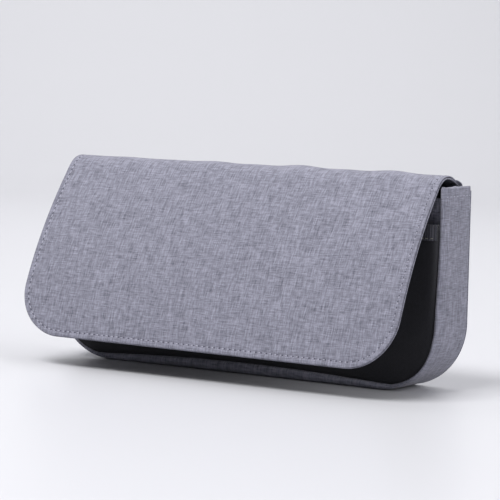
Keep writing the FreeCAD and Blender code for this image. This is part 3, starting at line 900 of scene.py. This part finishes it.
pocketSlack = simulatedSlack(2 * (bag["half"] - pocket["edge"]), pocket["top"] - pocket["edge"],
                             0.004, 0.6, pocket["stand"])
pocketFade = edgeFade(pocket["edge"], pocket["top"], 9.0)


def pocketBulge(x, down):
    return pocketSlack(x, down) * pocketFade(x, down)


pocketSection = [(7.0, 0.0), (4.6, -0.04), (3.0, -0.16), (1.8, -0.42), (0.95, -0.85), (0.4, -1.4),
                 (0.1, -2.1), (0.05, -3.4), (0.1, -4.6), (0.35, -5.0), (0.7, -4.9), (0.8, -3.4),
                 (1.0, -2.2), (1.9, -1.5), (3.4, -pocket["thickness"]), (6.0, -pocket["thickness"])]


def pocketSpace(x, down, height):
    # the turned-back flank stays at the sides and bottom, not at the open top
    flank = np.clip(down / 2.5, 0, 1)
    height = np.where(height < -pocket["thickness"], height * flank
                      - pocket["thickness"] * (1 - flank), height)
    points = wallToSpace(pocket["face"], pocket["top"], -1, pocketBulge)(x, down, height)
    points[:, 2] += bottomLift(x) * np.exp(-(points[:, 2] - pocket["edge"]) / 14.0)
    return points


pocketCover = shell("pocket_cover", bagOutline(pocket["edge"], pocket["top"], 3.0,
                    pocket["radius"]), pocketSection, pocketSpace, blackKnit)

# Grey front wall behind the pocket, and its lining.
frontTop = highOf("front_binding").z
wallSection = [(4.0, 0.0), (1.5, -0.05), (0.6, -0.2), (0.1, -0.6), (0.05, -1.2), (0.3, -1.75),
               (4.0, -1.75)]
frontWall = shell("front_wall_cloth", bagOutline(3.05, frontTop - 0.7), wallSection,
                  wallToSpace(lowOf("front_panel").y, frontTop - 0.7, -1), heatherCanvas)
liningSection = [(4.0, 0.0), (0.8, 0.0), (0.2, -0.12), (0.05, -0.3), (0.2, -0.5), (4.0, -0.5)]
frontLining = shell("front_lining_cloth", bagOutline(3.1, frontTop - 0.7), liningSection,
                    wallToSpace(highOf("front_lining").y, frontTop - 0.7, 1), nylonLining)

# Padded back: its cloth rolls over the foam into the gusset's seam.
back = {"edge": -0.2, "top": highOf("back_panel").z, "face": bag["back"], "stand": 1.3}
backSlack = simulatedSlack(2 * bag["half"], back["top"], 0.003, 1.2, back["stand"])
backFade = edgeFade(back["edge"], back["top"], 26.0)


def backBulge(x, down):
    return backSlack(x, down) * backFade(x, down)


backSection = [(8.0, 0.0), (3.2, -0.02), (1.4, -0.06), (0.7, -0.14), (0.3, -0.3), (0.08, -0.52),
               (0.1, -0.72), (0.35, -0.86), (1.2, -0.9), (3.0, -1.3), (3.4, -2.3), (8.0, -2.3)]
backCover = shell("back_cover", bagOutline(back["edge"], back["top"]), backSection,
                  wallToSpace(back["face"], back["top"], 1, backBulge), heatherCanvas)
backLining = shell("back_lining_cloth", bagOutline(3.1, highOf("back_lining").z), liningSection,
                   wallToSpace(lowOf("back_lining").y, highOf("back_lining").z, -1), nylonLining)
print("walls made")


def ribTree():
    # Geometry Nodes: raises ribs across a tape along its cloth coordinates
    tree, given, sockets = newTree("tapeRibs", [("Rib", "Float"), ("Depth", "Float")])
    place = addNode(tree, "GeometryNodeInputNamedAttribute", {"Name": "clothPlace"},
                    data_type="FLOAT_VECTOR")
    parts = addNode(tree, "ShaderNodeSeparateXYZ", {0: place.outputs[0]})
    count = addNode(tree, "ShaderNodeMath", {0: parts.outputs["X"], 1: given["Rib"]},
                    operation="DIVIDE")
    wave = threadWave(tree, count.outputs[0], 1.0)
    lift = addNode(tree, "ShaderNodeMath", {0: wave, 1: given["Depth"]}, operation="MULTIPLY")
    normal = addNode(tree, "GeometryNodeInputNormal")
    offset = addNode(tree, "ShaderNodeVectorMath", {0: normal.outputs[0], "Scale": lift.outputs[0]},
                     operation="SCALE")
    moved = addNode(tree, "GeometryNodeSetPosition", {
        "Geometry": given["Geometry"], "Offset": offset.outputs[0]})
    endTree(tree, moved.outputs[0], given["Material"])
    return tree, sockets


tapeRibs = ribTree()
tapeEnd = {"tuck": 1.6, "reach": 3.5}   # each tape's ends turn back into the side


def foldedTape(name, node, material, rib=1.3, depth=0.07):
    # tape folded over a top edge, along the CAD node of the same place
    low, high = lowOf(node), highOf(node)
    half = bag["half"] - bag["wall"] - 0.05
    thick = 0.6
    middle = (low.y + high.y) / 2
    xs = np.arange(-half, half + 0.01, rib / 5)
    outer = [(low.y, low.z), (low.y, low.z + 1.5), (low.y - 0.02, (low.z + high.z) / 2),
             (low.y, high.z - 1.2), (low.y + 0.25, high.z - 0.4), (low.y + 0.8, high.z - 0.05),
             (middle, high.z), (high.y - 0.8, high.z - 0.05), (high.y - 0.25, high.z - 0.4),
             (high.y, high.z - 1.2), (high.y, (low.z + high.z) / 2), (high.y, low.z)]
    inner = [(high.y - thick, low.z), (high.y - thick, high.z - 1.6), (middle, high.z - thick - 0.3),
             (low.y + thick, high.z - 1.6), (low.y + thick, low.z)]
    profile = outer + inner
    lengths = [0.0]
    for a, b in zip(profile, profile[1:]):
        lengths.append(lengths[-1] + math.hypot(a[0] - b[0], a[1] - b[1]))
    rows, places = [], []
    for x in xs:
        tuck = tapeEnd["tuck"] * smoothstep((abs(x) - half + tapeEnd["reach"]) / tapeEnd["reach"])
        rows.append([(x, y + float(tuck), z) for y, z in profile])
        places.append([(x, length) for length in lengths])
    piece = sweep(name, rows, material, places)
    return applyNodes(piece, tapeRibs, {"Rib": rib, "Depth": depth * mm}, material)


pocketTape = foldedTape("pocket_top_tape", "pocket_binding", grosgrain)
frontTape = foldedTape("front_wall_tape", "front_binding", heatherCanvas, depth=0.0)
meshTape = foldedTape("net_top_tape", "mesh_binding", elasticWebbing)


def tapeStitchLine(node, up):
    # a sewn line along a tape's front face, up mm above its lower edge
    low = lowOf(node)
    half = bag["half"] - bag["wall"] - 1.5
    xs = np.arange(-half, half, 1.0)
    tuck = tapeEnd["tuck"] * smoothstep((np.abs(xs) - half + 2.0) / tapeEnd["reach"])
    line = np.stack([xs, low.y - 0.06 + tuck, np.full(len(xs), low.z + up)], 1)
    return line, np.tile((0.0, -1.0, 0.0), (len(xs), 1))


tapeStitch = dict(topStitch, pitch=2.8, length=2.0, width=0.42, height=0.3, seed=8)
paleThread = plainStuff("PaleTapeThread", {
    "roughness": 0.5, "grain": 0.4, "dark": "#5c5b55", "light": "#8b8a80", "bump": 0.3})
pocketThread = stitches("pocket_tape_stitches", [tapeStitchLine("pocket_binding", 1.2)],
                        tapeStitch, paleThread)
frontThread = stitches("front_wall_tape_stitches", [tapeStitchLine("front_binding", 1.2)],
                       tapeStitch, blackThread)
meshThread = stitches("net_tape_stitches", [tapeStitchLine("mesh_binding", 1.2)],
                      tapeStitch, blackThread)
hemThread = stitches("side_hem_stitches", hemLines, dict(topStitch, pitch=3.3, width=0.4,
                                                         height=0.2), greyThread)


def seamTape(name, node):
    # narrow tape sewn over the raw seam inside, round the U
    low, high = lowOf(node), highOf(node)
    inset = bag["half"] - high.x
    section = [(inset + 0.05, low.y), (inset + 0.3, low.y), (inset + 0.75, low.y + 0.5),
               (inset + 0.8, (low.y + high.y) / 2), (inset + 0.75, high.y - 0.5),
               (inset + 0.3, high.y), (inset + 0.05, high.y)]
    return uSweep(name, section, high.z, grosgrain)


seamTapes = [seamTape("seam_tape_back", "back_seam_tape"),
             seamTape("seam_tape_front", "front_seam_tape")]
print("tapes made")


rootSeam = {
    "side": 0.4,               # narrower than the flap, at each side
    "thick": 0.55,
    "sewn": (0.09, 0.9),       # the two stitch rows, as shares of its length
    "stitchSide": 1.5,         # bare cloth past the stitches' ends
}


def rootStrip():
    # cloth from the back's top edge over the root line on to the flap
    half = flap["half"] - rootSeam["side"]
    backTop, backFace = back["top"], bag["back"]
    path = [(backFace + 0.35, backTop - 7.0), (backFace + 0.5, backTop - 6.4),
            (backFace + 0.5, backTop - 3.0), (backFace + 0.45, backTop - 0.8),
            (backFace + 0.3, backTop + 0.6), (backFace + 0.05, backTop + 1.9)]
    for down in (0.8, 1.8, 3.0, 5.0, 6.6, 7.0):
        y = np.interp(down, flapQ, flapY)
        z = np.interp(down, flapQ, flapZ)
        tilt = np.interp(down, flapQ, flapTilt)
        lift = 1.35 if down < 6.8 else 1.05
        path.append((float(y - math.sin(tilt) * lift), float(z + math.cos(tilt) * lift)))
    path = np.array(path)
    steps = np.concatenate([[0], np.cumsum(np.linalg.norm(np.diff(path, axis=0), axis=1))])
    fine = np.linspace(0, steps[-1], 46)
    middle = np.stack([np.interp(fine, steps, path[:, 0]), np.interp(fine, steps, path[:, 1])], 1)
    for _ in range(4):
        middle[1:-1] = (middle[:-2] + middle[1:-1] * 2 + middle[2:]) / 4
    tangent = np.gradient(middle, axis=0)
    tangent = tangent / np.linalg.norm(tangent, axis=1)[:, None]
    normal = np.stack([tangent[:, 1], -tangent[:, 0]], 1)
    inner = middle - normal * rootSeam["thick"]
    loop = np.vstack([middle, inner[::-1]])
    along = np.concatenate([fine, fine[::-1]])
    rows, places = [], []
    for x in np.arange(-half, half + 0.1, 2.5):
        rows.append([(x, y, z) for y, z in loop])
        places.append([(x, 300 + q) for q in along])
    piece = sweep("flap_root_cloth", rows, heatherCanvas, places)
    lines = []
    for at in rootSeam["sewn"]:
        i = int(at * (len(middle) - 1))
        xs = np.arange(-half + rootSeam["stitchSide"], half - rootSeam["stitchSide"], 1.0)
        y, z = middle[i] + normal[i] * 0.02
        line = np.stack([xs, np.full(len(xs), y), np.full(len(xs), z)], 1)
        lines.append((line, np.tile((0.0, normal[i][0], normal[i][1]), (len(xs), 1))))
    return piece, lines


rootCloth, rootLines = rootStrip()
rootThread = stitches("flap_root_stitches", rootLines, topStitch, greyThread)


net = {"cell": 2.6, "thread": 0.28, "edge": 3.4}


def netTree():
    # Geometry Nodes: a round thread along every edge of the input
    tree, given, sockets = newTree("netThreads", [("Thread", "Float")])
    curve = addNode(tree, "GeometryNodeMeshToCurve", {"Mesh": given["Geometry"]})
    radius = addNode(tree, "ShaderNodeMath", {0: given["Thread"], 1: 2.0}, operation="DIVIDE")
    circle = addNode(tree, "GeometryNodeCurvePrimitiveCircle", {
        "Resolution": 4, "Radius": radius.outputs[0]})
    tube = addNode(tree, "GeometryNodeCurveToMesh", {
        "Curve": curve.outputs[0], "Profile Curve": circle.outputs[0], "Fill Caps": True})
    endTree(tree, tube.outputs[0], given["Material"])
    return tree, sockets


def netCloth():
    # six-sided net cut to the pocket's outline, as threads
    top = highOf("mesh_pocket").z
    y = (lowOf("mesh_pocket").y + highOf("mesh_pocket").y) / 2
    across = net["cell"]
    half, radius = bag["half"] - net["edge"], bag["radius"] - net["edge"]

    def inside(x, z):
        if abs(x) > half or z < net["edge"] or z > top:
            return False
        dx, dz = abs(x) - (half - radius), net["edge"] + radius - z
        return dx <= 0 or dz <= 0 or math.hypot(dx, dz) <= radius

    index, points, edges = {}, [], set()

    def pointAt(x, z):
        key = (round(x * 50), round(z * 50))
        if key not in index:
            index[key] = len(points)
            points.append((x * mm, y * mm, z * mm))
        return index[key]

    row = 0
    z = net["edge"]
    while z < top:
        x = -half + (across / 2 if row % 2 else 0)
        while x < half:
            ring = [(x + across / math.sqrt(3) * math.sin(math.pi / 3 * k),
                     z + across / math.sqrt(3) * math.cos(math.pi / 3 * k)) for k in range(6)]
            for a, b in zip(ring, ring[1:] + ring[:1]):
                if inside(*a) and inside(*b):
                    edges.add(tuple(sorted((pointAt(*a), pointAt(*b)))))
            x += across
        z += across * math.sqrt(3) / 2
        row += 1
    mesh = bpy.data.meshes.new("net_pocket")
    mesh.from_pydata(points, sorted(edges), [])
    return applyNodes(placed("net_pocket", mesh), netTree(), {"Thread": net["thread"] * mm},
                      nylonNet)


netPiece = netCloth()


loops = {"count": 5, "pitch": 44.0, "ramp": 5.0, "tack": 4.0, "thick": 1.0,
         "ribs": 12, "ribHeight": 0.06,
         "zigWidth": 0.9, "zigRate": 3.1, "tackReach": 109.0}


def elasticRow():
    # webbing that arches away from the lining between its sewn tacks
    low, high = lowOf("cable_loops"), highOf("cable_loops")
    total = loops["pitch"] * loops["count"]
    depth = high.y - low.y - loops["thick"]
    xs = np.arange(-total / 2, total / 2 + 0.01, 0.8)
    within = (xs + total / 2) % loops["pitch"]
    near = np.minimum(within, loops["pitch"] - within) - loops["tack"] / 2
    arch = smoothstep(near / loops["ramp"]) * (0.9 + 0.1 * np.sin(within / loops["pitch"] * math.pi))
    rows, places = [], []
    zs = np.linspace(low.z, high.z, 26)
    ribs = loops["ribHeight"] * np.sin(np.linspace(0, 2 * math.pi * loops["ribs"], len(zs)))
    for x, a in zip(xs, arch):
        face = high.y - 0.05 - loops["thick"] - a * depth
        outer = [(x, face + rib, z) for z, rib in zip(zs, ribs)]
        inner = [(x, face + loops["thick"] - 0.1, z) for z in zs[::-1]]
        rows.append(outer + inner)
        places.append([(x, z) for z in zs] + [(x, z) for z in zs[::-1]])
    return sweep("elastic_loop_row", rows, elasticWebbing, places)


elasticPiece = elasticRow()
tackLines = []
for i in range(loops["count"] + 1):
    x = (i - loops["count"] / 2) * loops["pitch"]
    x = float(np.clip(x, -loops["tackReach"], loops["tackReach"]))
    zs = np.arange(lowOf("cable_loops").z + 1, highOf("cable_loops").z - 1, 0.5)
    zig = x + loops["zigWidth"] * np.sign(np.sin(zs * loops["zigRate"]))
    face = highOf("cable_loops").y - loops["thick"] - 0.1
    tackLines.append((np.stack([zig, np.full(len(zs), face), zs], 1),
                      np.tile((0.0, -1.0, 0.0), (len(zs), 1))))
tackThread = stitches("elastic_tack_stitches", tackLines, dict(
    topStitch, pitch=1.1, length=1.4, width=0.35, height=0.3, jitter=0.2, seed=12), blackThread)
print("inside made")


def pileTree():
    # Geometry Nodes: small bent threads standing on every point of the input
    tree, given, sockets = newTree("pileThreads", [("Height", "Float"), ("Thread", "Float"),
                                                   ("Seed", "Int")])
    bend = addNode(tree, "GeometryNodeCurveArc", {
        "Resolution": 6, "Radius": 0.5, "Start Angle": -0.5, "Sweep Angle": 4.2})
    profile = addNode(tree, "GeometryNodeCurvePrimitiveCircle", {
        "Resolution": 3, "Radius": given["Thread"]})
    tube = addNode(tree, "GeometryNodeCurveToMesh", {
        "Curve": bend.outputs[0], "Profile Curve": profile.outputs[0], "Fill Caps": True})
    raised = addNode(tree, "GeometryNodeTransform", {
        "Geometry": tube.outputs[0], "Rotation": (math.pi / 2, 0, 0)})
    normal = addNode(tree, "GeometryNodeInputNamedAttribute", {"Name": "clothNormal"},
                     data_type="FLOAT_VECTOR")
    upright = addNode(tree, "FunctionNodeAlignRotationToVector", {"Vector": normal.outputs[0]},
                      axis="Z")
    turned = turnedBy(tree, upright.outputs[0], 0.0, 6.28, given["Seed"])
    laid = addNode(tree, "GeometryNodeInstanceOnPoints", {
        "Points": given["Geometry"], "Instance": raised.outputs[0], "Rotation": turned,
        "Scale": given["Height"]})
    endTree(tree, laid.outputs[0], given["Material"])
    return tree, sockets


pileThreads = pileTree()


def pile(name, points, normals, height, seed):
    piece = looseMesh(name, [tuple(p * mm) for p in points], [], normals)
    return applyNodes(piece, pileThreads, {"Height": height * mm, "Thread": 0.14, "Seed": seed},
                      nylonPile)


def gridOn(half, low, high, step):
    xs = np.arange(-half + step / 2, half, step)
    qs = np.arange(low + step / 2, high, step)
    x, q = np.meshgrid(xs, qs)
    return x.ravel(), q.ravel()


closure = {
    "half": highOf("hook_strip").x,
    "start": flapLength - 30.0, "end": flapLength - 12.0,   # along the flap
    "bare": 1.5,                # tape without pile, at its edge
    "hookStep": 1.05, "hookHeight": 0.42,
    "loopStep": 0.95, "loopHeight": 0.36,
    "underside": 0.85,          # from the flap's middle line to its underside
    "hookFoot": -0.62, "loopFoot": 0.55,   # where the threads stand in the tape
}


def stripOutline(half, start, end):
    def outline(inset):
        return roundBottom(half, end - start, 1.5, min(inset, 1.4), step=2.0) + np.array([0, start])
    return outline


stripSection = [(1.2, -0.5), (0.5, -0.5), (0.12, -0.4), (0.0, -0.25), (0.0, 0.1), (0.3, 0.3),
                (1.2, 0.3)]


def flapUnder(x, down, height):
    return flapToSpace(x, down, height - closure["underside"])


def pocketFront(x, down, height):
    push = pocketBulge(x, down)
    return np.stack([x, pocket["face"] - push - height, pocket["top"] - down], 1)


def pileGrid(start, end, step):
    # the points of a strip where its threads stand
    bare = closure["bare"]
    return gridOn(closure["half"] - bare, start + bare, end - bare, step)


hookBase = shell("hook_tape", stripOutline(closure["half"], closure["start"], closure["end"]),
                 stripSection, flapUnder, nylonPile, 2.5)
hookX, hookDown = pileGrid(closure["start"], closure["end"], closure["hookStep"])
hookTilt = np.interp(hookDown, flapQ, flapTilt)
hookNormals = np.stack([np.zeros(len(hookX)), np.sin(hookTilt), -np.cos(hookTilt)], 1)
hookFeet = flapUnder(hookX, hookDown, np.full(len(hookX), closure["hookFoot"]))
hookPile = pile("hook_pile", hookFeet, hookNormals, closure["hookHeight"], 21)

loopStart = pocket["top"] - highOf("loop_strip").z
loopEnd = pocket["top"] - lowOf("loop_strip").z
loopBase = shell("loop_tape", stripOutline(closure["half"], loopStart, loopEnd),
                 [(a, -b) for a, b in stripSection], pocketFront, nylonPile, 2.5)
loopX, loopDown = pileGrid(loopStart, loopEnd, closure["loopStep"])
loopFeet = pocketFront(loopX, loopDown, np.full(len(loopX), closure["loopFoot"]))
loopPile = pile("loop_pile", loopFeet, np.tile((0.0, -1.0, 0.0), (len(loopX), 1)),
                closure["loopHeight"], 22)
print("closure made")


bodyPieces = [gussetCover, gussetInside, *hems, pocketCover, frontWall, frontLining, backCover,
              backLining, pocketTape, frontTape, meshTape, pocketThread, frontThread, meshThread,
              hemThread, *seamTapes, netPiece, elasticPiece, tackThread, loopBase, loopPile]
for piece in bodyPieces:
    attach(piece, "pouch")
for piece in (hookBase, hookPile):
    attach(piece, "flap_front")
for piece in (rootCloth, rootThread):
    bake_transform(piece)

# piece, the model's nodes that it stands for, and its cloth
for piece, nodes, slotName in (
        (gussetCover, ("gusset", "gusset_foam"), "grey_cloth"),
        (gussetInside, ("gusset_lining",), "black_lining"),
        (hems[0], ("left_hem",), "grey_cloth"),
        (hems[1], ("right_hem",), "grey_cloth"),
        (pocketCover, ("front_pocket",), "black_knit"),
        (pocketTape, ("pocket_binding",), "black_tape"),
        (frontWall, ("front_panel", "front_foam"), "grey_cloth"),
        (frontLining, ("front_lining",), "black_lining"),
        (frontTape, ("front_binding",), "grey_cloth"),
        (backCover, ("back_panel", "back_foam"), "grey_cloth"),
        (backLining, ("back_lining",), "black_lining"),
        (rootCloth, ("flap_root_tape",), "grey_cloth"),
        (netPiece, ("mesh_pocket",), "black_mesh"),
        (meshTape, ("mesh_binding",), "black_elastic"),
        (elasticPiece, ("cable_loops",), "black_elastic"),
        (seamTapes[0], ("back_seam_tape",), "black_tape"),
        (seamTapes[1], ("front_seam_tape",), "black_tape"),
        (hookBase, ("hook_strip",), "hook_and_loop"),
        (loopBase, ("loop_strip",), "hook_and_loop")):
    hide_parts(*nodes)

print("pieces placed on their bodies")


floor = {"front": -2.2, "bend": 1.4, "bendRadius": 0.8, "top": 2.6, "half": 3.0, "turn": 33,
         "colour": "#c6c6ca"}   # in metres and degrees


def backdrop():
    # a seamless sweep: flat floor that curves up behind the pouch
    bend, radius = floor["bend"], floor["bendRadius"]
    rows = [(y, 0.0) for y in np.linspace(floor["front"], bend, 10)]
    for i in range(1, 13):
        a = math.pi / 2 * i / 12
        rows.append((bend + radius * math.sin(a), radius - radius * math.cos(a)))
    rows.append((bend + radius, floor["top"]))
    points = [(x, y, z) for y, z in rows for x in (-floor["half"], floor["half"])]
    faces = [(2 * i, 2 * i + 1, 2 * i + 3, 2 * i + 2) for i in range(len(rows) - 1)]
    mesh = bpy.data.meshes.new("studio_sweep")
    mesh.from_pydata(points, [], faces)
    mesh.transform(Matrix.Rotation(math.radians(floor["turn"]), 4, "Z"))
    mesh.shade_smooth()
    # matt white acrylic sheet: a soft, weak reflection
    material, tree, shader = newMaterial("MattWhiteAcrylic", 0.38, {"Specular IOR Level": 0.35})
    shader.inputs["Base Color"].default_value = linear(floor["colour"])
    mesh.materials.append(material)
    placed("studio_sweep", mesh)


def areaLight(name, place, aim, width, height, power):
    light = bpy.data.lights.new(name, "AREA")
    light.shape = "RECTANGLE"
    light.size, light.size_y = width, height
    light.energy = power
    lamp = placed(name, light)
    lamp.location = place
    lamp.rotation_mode = "QUATERNION"
    lamp.rotation_quaternion = (Vector(aim) - Vector(place)).to_track_quat("-Z", "Y")


studio = {
    "world": "#f2f3f8", "worldPower": 0.295,
    # name: place, aimed at, width, height, power in watts
    "lights": {
        "softboxBehind": ((0.0, 0.55, 1.35), (0, 0, 0.05), 1.8, 1.0, 7.4),
        "softboxFront": ((0.2, -0.6, 1.3), (0, 0, 0.05), 1.4, 1.0, 2.1),
        "rightPanel": ((1.5, -0.1, 0.7), (0, 0, 0.06), 1.0, 1.0, 12.8),
        "frontPanel": ((-0.3, -0.95, 1.65), (0, 0, 0.06), 1.1, 0.7, 37.0),
        "backdropWash": ((-0.6, 0.7, 1.5), (-1.0, 1.7, 0.6), 1.5, 0.6, 17.0),
    },
}
backdrop()
world = bpy.data.worlds.new("SoftRoom")
bpy.context.scene.world = world
world.use_nodes = True
world.node_tree.nodes["Background"].inputs["Color"].default_value = linear(studio["world"])
world.node_tree.nodes["Background"].inputs["Strength"].default_value = studio["worldPower"]
for lightName, values in studio["lights"].items():
    areaLight(lightName, *values)

view = {"azimuth": 32.82, "elevation": 5.53, "distance": 1.4148, "middle": (0, 0, 0.055),
        "roll": 1.36, "lens": 182.99, "aimRight": -0.00366, "aimUp": 0.01282}


def makeCamera():
    camera = placed("camera", bpy.data.cameras.new("camera"))
    camera.data.lens = view["lens"]
    camera.data.sensor_width = 36.0
    camera.data.clip_start, camera.data.clip_end = 0.05, 20.0
    a, e = math.radians(view["azimuth"]), math.radians(view["elevation"])
    back = Vector((math.sin(a) * math.cos(e), -math.cos(a) * math.cos(e), math.sin(e)))
    right = Vector((math.cos(a), math.sin(a), 0))
    up = back.cross(right)
    place = Vector(view["middle"]) + back * view["distance"]
    aim = Vector(view["middle"]) + right * view["aimRight"] + up * view["aimUp"]
    camera.location = place
    camera.rotation_mode = "QUATERNION"
    roll = Quaternion((0, 0, 1), math.radians(view["roll"]))
    camera.rotation_quaternion = (aim - place).to_track_quat("-Z", "Y") @ roll
    bpy.context.scene.camera = camera


makeCamera()
bpy.context.scene.view_settings.view_transform = "Standard"
print("studio made")
